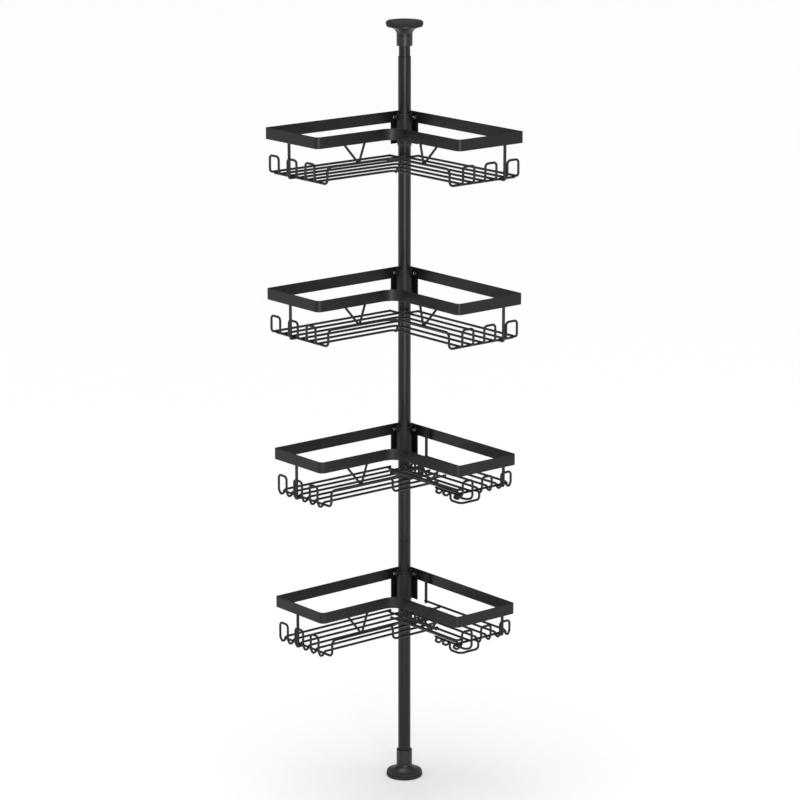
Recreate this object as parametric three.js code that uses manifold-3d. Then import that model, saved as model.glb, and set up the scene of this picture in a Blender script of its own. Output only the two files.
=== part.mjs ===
// A corner tension-pole shower caddy: a sprung pole with four L-shaped wire baskets, each on its own clip.
// Millimetres, +Z up. The origin is the centre of the foot's underside, on the pole's axis.
// The walls meet at (-X, +Y): one wing of every basket runs along +X, the other along -Y.
import * as THREE from "three";
import { mergeVertices } from "three/addons/utils/BufferGeometryUtils.js";
import Module from "manifold-3d";

const wasm = await Module();
wasm.setup();

// ---- Driving dimensions ----

const GAP = 0.3; // between pieces that touch
const ROUND = 20; // sides of the pole's round pieces
const WIRE_SIDES = 5;
const BEND_STEPS = 2; // facets in a wire's bend

const TOTAL_HEIGHT = 1527;
const TUBE = { outer: 12.5, inner: 11.3, bottom: 13.2, top: 1458.7, count: 3 };
const INNER_TUBE = { outer: 11.0, inner: 9.9, bottom: 1386 };
const JOINER = { outer: 11.0, inner: 9.8, half: 40 };
const SPRING = { radius: 8.4, wire: 1.1, turns: 6, bottom: 1326, sides: 5, stepsPerTurn: 10 };
const SPRING_SEAT = { thick: 3, height: 9, sides: 16 };
const FOOT = { radius: 36, padTop: 7.5, rimTop: 10.5, domeTop: 26.7, neck: 15.4, floor: 13, edge: 2.5, step: 1 };
const FOOT_COLLAR = { outer: 15.7, top: 55.6 };
const TOP_COLLAR = { outer: 15.4, bottom: 1479.2, top: 1500 };

const POLE_TO_WALL = 20; // from the pole's axis to the outer face of both back rails
const BAND = { height: 22, thick: 2, frontBend: 11, innerBend: 30, backBend: 1.5, wideSteps: 5, backSteps: 2 };
const FLOOR_WIRE = 2.3; // radii of the round wires
const GUARD_WIRE = 2.4;
const SUPPORT_WIRE = 2.3;
const POST_WIRE = 2.9;
const WELD = 1.1; // how far two welded wires sink into each other

const FLOOR_Z = -84; // the floor wires' centre lines, below the rail's top edge
const GUARD_Z = -56;
const HOOK = { height: 32, pairs: 3, inset: 4.5, bend: 6 }; // the inset is from the rail's end face to the hooks
const END_CROSS = 18; // from the rail's end face to the wire that the hooks' feet and the guard's leg stand on
const GUARD_OUT = 7; // the guard wire stands this far in front of the front rail
const GUARD_BEND = { leg: 9, corner: 30, step: 6 };
const SUPPORT = { spread: 46, top: -8, gap: 0.5, foot: 2, bend: 3 };
const POST = { top: -6, bend: 3 };
const DIP = { depth: 8.5, start: 2.5, from: 5, to: 11, bend: 3 }; // of a stepped basket's wires, under their end cross wire
const POLE_CLEAR = 46; // the floor wires nearest the pole start this far from the walls
const CORNER_BEND = { track: 16, aroundPole: 10 };

const BASKET_A = { length: 341, width: 157, firstWire: 8, pitch: 27, leftPost: 66, rightPost: 41 };
const BASKET_B = { length: 327, width: 146, firstWire: 8, pitch: 24, leftPost: 63, rightPost: 26 };
const TRAY = { z: -57, start: 110, hookHeight: 23, post: 73, guardZ: -48, supportShift: 6 };
const SLOTS = { first: 44, pitch: 9.6, bars: 6, gap: 0.7, rise: 3, bend: 4 };
const FRONT_HOOKS = { centres: [263, 284, 316], width: 14, out: 6, drop: 6, bend: 4, below: 3, start: 250, end: 3 };
// Under the tray's corner: one hanger is the last hook's leg carried down and around, one goes outside it.
const HANGER = { inner: 13, innerOut: 119, outer: 18.5, outerOut: 87, back: 30, bend: 9 };

const BRACKET = { flange: 38, thick: 2.2, top: -1.5, bottom: -63 };
const SLEEVE = { inner: 14.4, outer: 16, top: -6, bottom: -60 };
const CLIP = { inner: 12.8, outer: 14.1, top: -2.4, bottom: -66, seam: 0.3, chamfer: 0.5, nose: 4 };
const LIP = { outer: 15.1, height: 2.6 }; // at the clip's top

const SCREW = { head: 4, headThick: 2, shank: 1.5, along: 12, z: -11, sides: 8 };
const CUTTER = 200; // longer than anything it is cut from

const TIERS = [
  { name: "tier1", top: 1352, kind: "A" },
  { name: "tier2", top: 1046, kind: "A" },
  { name: "tier3", top: 731.6, kind: "B" },
  { name: "tier4", top: 435, kind: "B" },
];

const MATERIALS = {
  steel: { color: 0x232325, roughness: 0.42, metalness: 0.35 },
  plastic: { color: 0x1d1d1f, roughness: 0.55, metalness: 0 },
  rubber: { color: 0x161617, roughness: 0.8, metalness: 0 },
  bareSteel: { color: 0x9a9da1, roughness: 0.35, metalness: 0.9 },
};

// ---- Solids ----

function solidOf(geometry) {
  const bare = geometry.clone();
  bare.deleteAttribute("normal");
  bare.deleteAttribute("uv");
  const merged = mergeVertices(bare, 1e-3);
  const mesh = new wasm.Mesh({
    numProp: 3,
    vertProperties: merged.attributes.position.array,
    triVerts: new Uint32Array(merged.index.array),
  });
  return new wasm.Manifold(mesh);
}

function geometryOf(solid) {
  const mesh = solid.getMesh();
  const geometry = new THREE.BufferGeometry();
  geometry.setAttribute("position", new THREE.BufferAttribute(mesh.vertProperties, 3));
  geometry.setIndex(new THREE.BufferAttribute(mesh.triVerts, 1));
  return geometry;
}

function joined(geometries) {
  return geometryOf(wasm.Manifold.union(geometries.map(solidOf)));
}

function node(name, finish, geometry) {
  const mesh = new THREE.Mesh(geometry, new THREE.MeshStandardMaterial(MATERIALS[finish]));
  mesh.name = name;
  return mesh;
}

// ---- Curves and round pieces ----

// The points that round off one corner of a route with an arc of the given radius.
function roundedCorner(before, corner, after, radius, steps) {
  const into = corner.clone().sub(before);
  const outOf = after.clone().sub(corner);
  const turn = into.angleTo(outOf);
  if (turn < 1e-3 || radius <= 0) return [corner];
  const reach = Math.min(radius * Math.tan(turn / 2), into.length() * 0.49, outOf.length() * 0.49);
  const arcRadius = reach / Math.tan(turn / 2);
  into.normalize();
  outOf.normalize();
  const start = corner.clone().addScaledVector(into, -reach);
  const toCentre = outOf.clone().addScaledVector(into, -outOf.dot(into)).normalize();
  return Array.from({ length: steps + 1 }, (_, i) => {
    const angle = (turn * i) / steps;
    return start
      .clone()
      .addScaledVector(into, arcRadius * Math.sin(angle))
      .addScaledVector(toCentre, arcRadius * (1 - Math.cos(angle)));
  });
}

// A wire's centre line: straight runs between corners, each rounded by its own bend radius or by one for all.
class BentWire extends THREE.Curve {
  constructor(corners, bend) {
    super();
    const last = corners.length - 1;
    this.stations = corners.flatMap((corner, i) => {
      if (i === 0 || i === last) return [corner];
      const radius = Array.isArray(bend) ? bend[i] : bend;
      return roundedCorner(corners[i - 1], corner, corners[i + 1], radius, BEND_STEPS);
    });
  }

  getSpacedPoints() {
    return this.stations;
  }

  getTangentAt(u) {
    const last = this.stations.length - 1;
    const i = Math.round(u * last);
    const back = this.stations[Math.max(i - 1, 0)];
    const ahead = this.stations[Math.min(i + 1, last)];
    const here = this.stations[i];
    const into = i > 0 ? here.clone().sub(back).normalize() : new THREE.Vector3();
    const outOf = i < last ? ahead.clone().sub(here).normalize() : new THREE.Vector3();
    return into.add(outOf).normalize();
  }
}

function circle(radius, sides) {
  const points = Array.from({ length: sides }, (_, i) => {
    const angle = (2 * Math.PI * (i + 0.5)) / sides;
    return new THREE.Vector2(radius * Math.cos(angle), radius * Math.sin(angle));
  });
  return new THREE.Shape(points);
}

function wire(corners, radius, bend = 0) {
  const path = new BentWire(corners, bend);
  const steps = path.stations.length - 1;
  return new THREE.ExtrudeGeometry(circle(radius, WIRE_SIDES), { steps, extrudePath: path });
}

// A closed ring of revolution about Z from an outline of [radius, height] pairs, listed once around.
function turned(outline, sides = ROUND) {
  const points = outline.map(([radius, height]) => new THREE.Vector2(radius, height));
  if (outline[0][0] > 0) points.push(points[0].clone());
  const geometry = new THREE.LatheGeometry(points, sides);
  geometry.rotateX(Math.PI / 2);
  return geometry;
}

function tube(outer, inner, bottom, top) {
  return turned([
    [inner, bottom],
    [outer, bottom],
    [outer, top],
    [inner, top],
  ]);
}

// ---- Pole ----

function poleTubes() {
  const length = (TUBE.top - TUBE.bottom) / TUBE.count;
  return Array.from({ length: TUBE.count }, (_, i) => {
    const bottom = TUBE.bottom + i * length + (i > 0 ? GAP : 0);
    const top = TUBE.bottom + (i + 1) * length;
    return node(`pole_tube_${i + 1}`, "steel", tube(TUBE.outer, TUBE.inner, bottom, top));
  });
}

function joiners() {
  const length = (TUBE.top - TUBE.bottom) / TUBE.count;
  return Array.from({ length: TUBE.count - 1 }, (_, i) => {
    const seam = TUBE.bottom + (i + 1) * length;
    const sleeve = tube(JOINER.outer, JOINER.inner, seam - JOINER.half, seam + JOINER.half);
    return node(`tube_joiner_${i + 1}`, "bareSteel", sleeve);
  });
}

function springSeat() {
  const { thick, height } = SPRING_SEAT;
  const outer = INNER_TUBE.outer;
  const floor = SPRING.bottom - GAP;
  const outline = [
    [0, floor - thick],
    [outer - thick, floor - thick],
    [outer - thick, floor - height],
    [outer, floor - height],
    [outer, floor],
    [0, floor],
  ];
  return node("spring_seat", "plastic", turned(outline, SPRING_SEAT.sides));
}

function tensionSpring() {
  const height = INNER_TUBE.bottom - GAP - SPRING.bottom - 2 * SPRING.wire;
  const steps = SPRING.turns * SPRING.stepsPerTurn;
  const helix = Array.from({ length: steps + 1 }, (_, i) => {
    const angle = (2 * Math.PI * i) / SPRING.stepsPerTurn;
    const z = SPRING.bottom + SPRING.wire + (height * i) / steps;
    return new THREE.Vector3(SPRING.radius * Math.cos(angle), SPRING.radius * Math.sin(angle), z);
  });
  const path = new BentWire(helix, 0);
  const coil = new THREE.ExtrudeGeometry(circle(SPRING.wire, SPRING.sides), {
    steps,
    extrudePath: path,
  });
  return node("tension_spring", "bareSteel", coil);
}

// The dome of the foot and of the ceiling cup: a rim, a hollow flare and a socket for the tube.
function cupOutline(socket) {
  const flare = 4;
  const rim = FOOT.radius - FOOT.step;
  const outer = Array.from({ length: flare + 1 }, (_, i) => {
    const angle = (Math.PI / 2) * (i / flare);
    const radius = FOOT.neck + (rim - FOOT.neck) * (1 - Math.sin(angle)) ** 1.15;
    const height = FOOT.rimTop + (FOOT.domeTop - FOOT.rimTop) * (1 - Math.cos(angle)) ** 0.8;
    return [radius, height];
  });
  return [
    [0, FOOT.padTop + GAP],
    [rim, FOOT.padTop + GAP],
    ...outer,
    [socket, FOOT.domeTop],
    [socket, FOOT.floor],
    [0, FOOT.floor],
  ];
}

function padOutline() {
  const { radius, edge } = FOOT;
  return [
    [0, 0],
    [radius - edge, 0],
    [radius - edge * 0.3, edge * 0.3],
    [radius, edge],
    [FOOT.radius, FOOT.padTop],
    [0, FOOT.padTop],
  ];
}

function footPieces() {
  return [
    node("foot_pad", "rubber", turned(padOutline())),
    node("foot_cup", "plastic", turned(cupOutline(TUBE.outer + GAP))),
    node(
      "foot_collar",
      "plastic",
      tube(FOOT_COLLAR.outer, TUBE.outer + GAP, FOOT.domeTop + GAP, FOOT_COLLAR.top),
    ),
  ];
}

function upsideDown(geometry) {
  geometry.rotateX(Math.PI);
  geometry.translate(0, 0, TOTAL_HEIGHT);
  return geometry;
}

function ceilingPieces() {
  const tubeTop = TOTAL_HEIGHT - FOOT.floor - GAP;
  return [
    node("inner_tube", "steel", tube(INNER_TUBE.outer, INNER_TUBE.inner, INNER_TUBE.bottom, tubeTop)),
    node(
      "ceiling_collar",
      "plastic",
      tube(TOP_COLLAR.outer, INNER_TUBE.outer + GAP, TOP_COLLAR.bottom, TOP_COLLAR.top),
    ),
    node("ceiling_cup", "plastic", upsideDown(turned(cupOutline(INNER_TUBE.outer + GAP)))),
    node("ceiling_pad", "rubber", upsideDown(turned(padOutline()))),
  ];
}

// ---- Baskets ----

// A wing's own coordinates: along it from the back corner, out from its wall, and up from the rail's top.
function onRight(along, out, z) {
  return new THREE.Vector3(along - POLE_TO_WALL, POLE_TO_WALL - out, z);
}

function onLeft(along, out, z) {
  return new THREE.Vector3(out - POLE_TO_WALL, POLE_TO_WALL - along, z);
}

function trackOf(basket, index) {
  return basket.firstWire + basket.pitch * index;
}

// The rail's outline seen from above, drawn in by an inset that its bends follow.
function railOutline(basket, inset) {
  const end = basket.length - inset;
  const front = basket.width - inset;
  const corners = [
    [onRight(inset, inset, 0), BAND.backBend - inset],
    [onRight(end, inset, 0), BAND.backBend - inset],
    [onRight(end, front, 0), BAND.frontBend - inset],
    [onRight(front, front, 0), BAND.innerBend + inset],
    [onLeft(end, front, 0), BAND.frontBend - inset],
    [onLeft(end, inset, 0), BAND.backBend - inset],
  ];
  const count = corners.length;
  return corners.flatMap(([corner, bend], i) => {
    const before = corners[(i + count - 1) % count][0];
    const after = corners[(i + 1) % count][0];
    return roundedCorner(before, corner, after, bend, bend > BAND.backBend ? BAND.wideSteps : BAND.backSteps);
  });
}

function bandRail(basket) {
  const flat = (points) => points.map((p) => new THREE.Vector2(p.x, p.y));
  const shape = new THREE.Shape(flat(railOutline(basket, 0)));
  shape.holes.push(new THREE.Path(flat(railOutline(basket, BAND.thick)).reverse()));
  const band = new THREE.ExtrudeGeometry(shape, { depth: BAND.height, bevelEnabled: false });
  band.translate(0, 0, -BAND.height);
  return band;
}

// The level of a wire that is welded under wires at the given level.
function under(z) {
  return z - 2 * FLOOR_WIRE + WELD;
}

function crossWire(place, along, from, to, floorZ) {
  return wire([place(along, from, under(floorZ)), place(along, to, under(floorZ))], FLOOR_WIRE);
}

// Where the floor's first wire begins and its last one ends, measured out from the wall.
function firstEdge(basket) {
  return trackOf(basket, 0) - FLOOR_WIRE;
}

function lastEdge(basket) {
  return trackOf(basket, 2 * HOOK.pairs - 1) + FLOOR_WIRE;
}

// Where the floor wires end and the hooks' feet begin.
function footOf(basket) {
  return basket.length - END_CROSS - FLOOR_WIRE;
}

// The wires that run along both wings; those nearest the pole stop short of it on a wire that goes around.
function cornerFloor(basket) {
  const end = footOf(basket) - GAP;
  const wires = [];
  for (let i = 0; i < 2 * HOOK.pairs; i++) {
    const track = trackOf(basket, i);
    if (track < POLE_CLEAR) {
      wires.push(wire([onRight(POLE_CLEAR, track, FLOOR_Z), onRight(end, track, FLOOR_Z)], FLOOR_WIRE));
      wires.push(wire([onLeft(POLE_CLEAR, track, FLOOR_Z), onLeft(end, track, FLOOR_Z)], FLOOR_WIRE));
    } else {
      const corner = onRight(track, track, FLOOR_Z);
      const corners = [onLeft(end, track, FLOOR_Z), corner, onRight(end, track, FLOOR_Z)];
      wires.push(wire(corners, FLOOR_WIRE, CORNER_BEND.track));
    }
  }
  const around = [
    onLeft(POLE_CLEAR, firstEdge(basket), FLOOR_Z),
    onRight(POLE_CLEAR, POLE_CLEAR, FLOOR_Z),
    onRight(POLE_CLEAR, firstEdge(basket), FLOOR_Z),
  ];
  wires.push(wire(around, FLOOR_WIRE, CORNER_BEND.aroundPole));
  const near = POLE_CLEAR - 3 * FLOOR_WIRE;
  const far = lastEdge(basket) + FLOOR_WIRE;
  wires.push(wire([onRight(near, near, under(FLOOR_Z)), onRight(far, far, under(FLOOR_Z))], FLOOR_WIRE));
  return joined(wires);
}

// The low floor of the stepped basket: straight wires over the left wing and the corner behind it.
function leftFloor(basket) {
  const end = footOf(basket) - GAP;
  const wires = [];
  for (let i = 0; i < 2 * HOOK.pairs; i++) {
    const track = trackOf(basket, i);
    const start = track < POLE_CLEAR ? POLE_CLEAR : firstEdge(basket);
    wires.push(wire([onLeft(start, track, FLOOR_Z), onLeft(end, track, FLOOR_Z)], FLOOR_WIRE));
  }
  const behindPole = POLE_CLEAR + FLOOR_WIRE;
  wires.push(crossWire(onLeft, behindPole, firstEdge(basket), lastEdge(basket), FLOOR_Z));
  wires.push(crossWire(onLeft, trackOf(basket, 0), POLE_CLEAR, lastEdge(basket), FLOOR_Z));
  return joined(wires);
}

// The raised tray of the stepped basket, with the post that ties its back to the rail.
function rightTray(basket) {
  const end = footOf(basket) - GAP;
  const wires = [];
  for (let i = 0; i < 2 * HOOK.pairs; i++) {
    const track = trackOf(basket, i);
    const start = i === 0 ? TRAY.post - POST_WIRE : TRAY.start;
    wires.push(wire([onRight(start, track, TRAY.z), onRight(end, track, TRAY.z)], FLOOR_WIRE));
  }
  wires.push(crossWire(onRight, TRAY.start + FLOOR_WIRE, firstEdge(basket), lastEdge(basket), TRAY.z));
  const back = trackOf(basket, 0);
  const post = [onRight(TRAY.post, back, TRAY.z - FLOOR_WIRE), onRight(TRAY.post, back, POST.top)];
  wires.push(wire(post, POST_WIRE));
  return joined(wires);
}

// A wire's end on its way up into a hook: straight, or dipping under the cross wire on a stepped basket.
function hookFoot(basket, place, track, z, dipping) {
  const plane = basket.length - HOOK.inset;
  const foot = footOf(basket);
  if (!dipping) return [place(foot, track, z), place(plane, track, z)];
  return [
    place(foot, track, z),
    place(foot + DIP.start, track, z),
    place(foot + DIP.from, track, z - DIP.depth),
    place(foot + DIP.to, track, z - DIP.depth),
    place(plane, track, z + FLOOR_WIRE),
  ];
}

// The wires' ends turned up into hooks, on the cross wire that carries them and the end post.
function endHooks(basket, place, floorZ, height, postAt) {
  const stepped = basket === BASKET_B;
  const plane = basket.length - HOOK.inset;
  const cross = basket.length - END_CROSS;
  const dip = Array(4).fill(DIP.bend);
  const wires = [];
  for (let pair = 0; pair < HOOK.pairs; pair++) {
    const a = trackOf(basket, 2 * pair);
    const b = trackOf(basket, 2 * pair + 1);
    const top = [place(plane, a, floorZ + height), place(plane, b, floorZ + height)];
    const upB = hookFoot(basket, place, b, floorZ, stepped).reverse();
    if (floorZ === TRAY.z && pair === HOOK.pairs - 1) {
      const low = floorZ - HANGER.inner;
      const hanger = [
        place(plane - HANGER.back, HANGER.innerOut, low),
        place(plane, HANGER.innerOut, low),
        place(plane, a, low),
      ];
      const bends = [0, HANGER.bend, HOOK.bend, HOOK.bend, HOOK.bend, ...dip, 0];
      wires.push(wire([...hanger, ...top, ...upB], FLOOR_WIRE, bends));
      wires.push(wire(hookFoot(basket, place, a, floorZ, false), FLOOR_WIRE));
    } else {
      const corners = [...hookFoot(basket, place, a, floorZ, stepped), ...top, ...upB];
      const foot = stepped ? dip : [HOOK.bend];
      const bends = [0, ...foot, HOOK.bend, HOOK.bend, ...foot, 0];
      wires.push(wire(corners, FLOOR_WIRE, bends));
    }
  }
  wires.push(crossWire(place, cross, firstEdge(basket), lastEdge(basket), floorZ));
  const postPlane = basket.length - BAND.thick - GAP - POST_WIRE;
  const post = [
    place(cross, postAt, under(floorZ)),
    place(postPlane, postAt, under(floorZ)),
    place(postPlane, postAt, POST.top),
  ];
  wires.push(wire(post, POST_WIRE, POST.bend));
  return joined(wires);
}

// A bent support that hangs from the front rail down to the guard wire.
function support(place, middle, behind, out, z) {
  const half = SUPPORT.spread / 2;
  const corners = [
    place(middle - half, behind, SUPPORT.top),
    place(middle - half, behind, -BAND.height - 1),
    place(middle - SUPPORT.foot, out, z + SUPPORT.foot),
    place(middle + SUPPORT.foot, out, z + SUPPORT.foot),
    place(middle + half, behind, -BAND.height - 1),
    place(middle + half, behind, SUPPORT.top),
  ];
  return wire(corners, SUPPORT_WIRE, SUPPORT.bend);
}

// The wire along the front. At its ends it turns down, then in to meet the end cross wire.
// On the stepped basket the left part also turns down at the inner corner and runs back along the low floor,
// and the right part runs right under the rail and turns in to meet the last hook.
function guardRail(basket) {
  const { length, width } = basket;
  const out = width + GUARD_OUT;
  const legAt = length - END_CROSS;
  const meet = lastEdge(basket) + GAP;
  const middle = (length + width) / 2;
  const behind = width - BAND.thick - SUPPORT_WIRE - SUPPORT.gap;
  const { leg, corner, step } = GUARD_BEND;
  const legOf = (place) => [
    place(legAt, meet, under(FLOOR_Z)),
    place(legAt, out, under(FLOOR_Z)),
    place(legAt, out, GUARD_Z),
  ];
  const wires = [support(onLeft, middle, behind, out - 1, GUARD_Z)];
  if (basket === BASKET_A) {
    const corners = [...legOf(onLeft), onRight(out, out, GUARD_Z), ...legOf(onRight).reverse()];
    wires.push(wire(corners, GUARD_WIRE, [0, leg, leg, corner, leg, leg, 0]));
    wires.push(support(onRight, middle, behind, out - 1, GUARD_Z));
  } else {
    const left = [...legOf(onLeft), onLeft(out + step, out, GUARD_Z), onLeft(out + step, out, FLOOR_Z)];
    left.push(onLeft(POLE_CLEAR, out, FLOOR_Z));
    wires.push(wire(left, GUARD_WIRE, leg));
    const plane = length - HOOK.inset;
    const right = [onLeft(out + 4 * step, out, GUARD_Z), onLeft(out + step, out, GUARD_Z)];
    right.push(onRight(out + 2 * step, behind, TRAY.guardZ));
    right.push(onRight(plane, behind, TRAY.guardZ), onRight(plane, meet, TRAY.guardZ));
    wires.push(wire(right, GUARD_WIRE, leg));
    wires.push(support(onRight, middle + TRAY.supportShift, behind, behind, TRAY.guardZ));
  }
  return joined(wires);
}

// Upright bars between the low floor and the raised tray, close enough to hold a brush or a razor.
function slotRack() {
  const plane = TRAY.start - 2 * FLOOR_WIRE - SLOTS.gap;
  const foot = FLOOR_Z + 2 * FLOOR_WIRE + GAP;
  const top = TRAY.z + SLOTS.rise;
  const wires = [];
  for (let i = 0; i < SLOTS.bars; i += 2) {
    const a = SLOTS.first + SLOTS.pitch * i;
    const b = a + SLOTS.pitch;
    const rise = [onRight(plane, a, foot), onRight(plane, a, top)];
    const fall = [onRight(plane, b, top), onRight(plane, b, foot)];
    wires.push(wire([...rise, ...fall], FLOOR_WIRE, SLOTS.bend));
  }
  const last = SLOTS.first + SLOTS.pitch * (SLOTS.bars - 1);
  wires.push(wire([onRight(plane, SLOTS.first, foot), onRight(plane, last, foot)], FLOOR_WIRE));
  return joined(wires);
}

// The wire along the tray's front edge with its small loops, and the hanger that goes around its corner.
function frontHooks(basket) {
  const z = TRAY.z - FRONT_HOOKS.below;
  const edge = lastEdge(basket) + GAP + FLOOR_WIRE;
  const half = FRONT_HOOKS.width / 2;
  const tip = edge + FRONT_HOOKS.out;
  const low = z - FRONT_HOOKS.drop;
  const wires = FRONT_HOOKS.centres.map((centre) => {
    const corners = [
      onRight(centre - half, edge, z),
      onRight(centre - half, tip, low),
      onRight(centre + half, tip, low),
      onRight(centre + half, edge, z),
    ];
    return wire(corners, FLOOR_WIRE, FRONT_HOOKS.bend);
  });
  const plane = basket.length - HOOK.inset;
  const start = basket.length - END_CROSS + FLOOR_WIRE + GAP;
  const bottom = TRAY.z - HANGER.outer;
  const hanger = [
    onRight(start, HANGER.outerOut, under(TRAY.z)),
    onRight(plane, HANGER.outerOut, under(TRAY.z)),
    onRight(plane, HANGER.outerOut, bottom),
    onRight(plane, edge, bottom),
    onRight(plane - HANGER.back, edge, bottom),
    onRight(plane - HANGER.back, edge, z),
  ];
  wires.push(wire(hanger, FLOOR_WIRE, [0, DIP.bend, HOOK.bend, HANGER.bend, HOOK.bend, 0]));
  const end = basket.length - FRONT_HOOKS.end;
  wires.push(wire([onRight(FRONT_HOOKS.start, edge, z), onRight(end, edge, z)], FLOOR_WIRE));
  return joined(wires);
}

// ---- Bracket, clip and screws ----

function cornerBracket() {
  const face = POLE_TO_WALL - BAND.thick - GAP;
  const end = BRACKET.flange - face;
  const inner = face - BRACKET.thick;
  const outline = [
    [-face, face],
    [-face, -end],
    [-inner, -end],
    [-inner, inner],
    [end, inner],
    [end, face],
  ];
  const shape = new THREE.Shape(outline.map(([x, y]) => new THREE.Vector2(x, y)));
  const angle = new THREE.ExtrudeGeometry(shape, {
    depth: BRACKET.top - BRACKET.bottom,
    bevelEnabled: false,
  });
  angle.translate(0, 0, BRACKET.bottom);
  const sleeve = turned([
    [SLEEVE.inner, SLEEVE.bottom],
    [SLEEVE.outer, SLEEVE.bottom],
    [SLEEVE.outer, SLEEVE.top],
    [SLEEVE.inner, SLEEVE.top],
  ]);
  const bore = SCREW.shank + GAP;
  const rightHole = new THREE.CylinderGeometry(bore, bore, face, SCREW.sides);
  rightHole.translate(SCREW.along, face, SCREW.z);
  const leftHole = new THREE.CylinderGeometry(bore, bore, face, SCREW.sides);
  leftHole.rotateZ(Math.PI / 2);
  leftHole.translate(-face, -SCREW.along, SCREW.z);
  const opening = new THREE.CylinderGeometry(SLEEVE.inner, SLEEVE.inner, CUTTER, ROUND);
  opening.rotateX(Math.PI / 2);
  const body = wasm.Manifold.union([solidOf(angle), solidOf(sleeve)]);
  const cut = wasm.Manifold.union([solidOf(opening), solidOf(rightHole), solidOf(leftHole)]);
  return geometryOf(body.subtract(cut));
}

// A pan head with its shank in the bracket's hole, short of the rail.
function bracketScrew(onRightWall) {
  const inner = POLE_TO_WALL - BAND.thick - GAP - BRACKET.thick;
  const length = BRACKET.thick - GAP;
  const profile = [
    [0, -length],
    [SCREW.shank, -length],
    [SCREW.shank, GAP],
    [SCREW.head, GAP],
    [SCREW.head * 0.85, SCREW.headThick * 0.7],
    [SCREW.head * 0.45, SCREW.headThick],
    [0, SCREW.headThick],
  ];
  const screw = turned(profile, SCREW.sides);
  screw.rotateX(Math.PI / 2);
  if (onRightWall) {
    screw.translate(SCREW.along, inner, SCREW.z);
  } else {
    screw.rotateZ(Math.PI / 2);
    screw.translate(-inner, -SCREW.along, SCREW.z);
  }
  return screw;
}

// Half of the split clip between the pole and the sleeve, with a lip that the sleeve hangs from.
function clipHalf(front) {
  const ring = solidOf(
    turned([
      [CLIP.inner, CLIP.bottom],
      [CLIP.outer - CLIP.chamfer, CLIP.bottom],
      [CLIP.outer, CLIP.bottom + CLIP.nose],
      [CLIP.outer, CLIP.top - LIP.height],
      [LIP.outer, CLIP.top - LIP.height],
      [LIP.outer, CLIP.top],
      [CLIP.inner, CLIP.top],
    ]),
  );
  const half = new THREE.BoxGeometry(CUTTER, CUTTER, CUTTER);
  half.translate(0, CUTTER / 2 + CLIP.seam / 2, 0);
  half.rotateZ(front ? (-3 * Math.PI) / 4 : Math.PI / 4);
  return geometryOf(ring.intersect(solidOf(half)));
}

function tierPieces({ name, top, kind }) {
  const group = new THREE.Group();
  const basket = kind === "A" ? BASKET_A : BASKET_B;
  const add = (piece, finish, geometry) => group.add(node(`${name}_${piece}`, finish, geometry));
  add("band_rail", "steel", bandRail(basket));
  add("left_hooks", "steel", endHooks(basket, onLeft, FLOOR_Z, HOOK.height, basket.leftPost));
  if (kind === "A") {
    add("floor_wires", "steel", cornerFloor(basket));
    add("right_hooks", "steel", endHooks(basket, onRight, FLOOR_Z, HOOK.height, basket.rightPost));
    add("guard_rail", "steel", guardRail(basket));
  } else {
    add("floor_wires", "steel", leftFloor(basket));
    add("right_tray", "steel", rightTray(basket));
    add("right_hooks", "steel", endHooks(basket, onRight, TRAY.z, TRAY.hookHeight, basket.rightPost));
    add("guard_rail", "steel", guardRail(basket));
    add("slot_rack", "steel", slotRack());
    add("front_hooks", "steel", frontHooks(basket));
  }
  add("corner_bracket", "steel", cornerBracket());
  add("screw_right", "bareSteel", bracketScrew(true));
  add("screw_left", "bareSteel", bracketScrew(false));
  add("clip_front", "plastic", clipHalf(true));
  add("clip_back", "plastic", clipHalf(false));
  group.position.z = top;
  return group;
}

const group = new THREE.Group();
group.name = "shower_caddy";
group.add(...footPieces(), ...poleTubes(), ...joiners(), springSeat(), tensionSpring(), ...ceilingPieces());
for (const tier of TIERS) group.add(tierPieces(tier));

export default group;
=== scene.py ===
# A corner shower caddy: a sprung pole between floor and ceiling carries four L-shaped wire baskets.
# Lengths in the pieces' dictionaries are millimetres, and every mesh is turned into metres as it is made.
import math
import bpy
import bmesh
import numpy as np
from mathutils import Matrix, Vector


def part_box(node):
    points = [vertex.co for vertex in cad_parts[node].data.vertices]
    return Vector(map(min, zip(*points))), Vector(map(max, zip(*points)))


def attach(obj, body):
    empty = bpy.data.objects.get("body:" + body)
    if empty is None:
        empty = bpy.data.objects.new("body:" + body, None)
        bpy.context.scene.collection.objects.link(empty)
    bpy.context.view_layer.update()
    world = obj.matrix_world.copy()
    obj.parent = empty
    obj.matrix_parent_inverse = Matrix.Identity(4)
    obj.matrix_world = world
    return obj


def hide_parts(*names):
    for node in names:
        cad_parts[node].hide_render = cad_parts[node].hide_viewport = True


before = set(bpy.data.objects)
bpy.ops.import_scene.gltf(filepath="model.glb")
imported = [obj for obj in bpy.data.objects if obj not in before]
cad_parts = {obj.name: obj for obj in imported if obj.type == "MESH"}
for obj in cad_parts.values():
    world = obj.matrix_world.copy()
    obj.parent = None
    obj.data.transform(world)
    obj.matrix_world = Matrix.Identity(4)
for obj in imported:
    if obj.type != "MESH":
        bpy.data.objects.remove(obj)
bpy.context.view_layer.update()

metresPerMm = 0.001
scene = bpy.context.scene


# Helpers that make surfaces as (points, faces) pairs.

def unit(vectors):
    return vectors / np.maximum(np.linalg.norm(vectors, axis=-1, keepdims=True), 1e-9)


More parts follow.
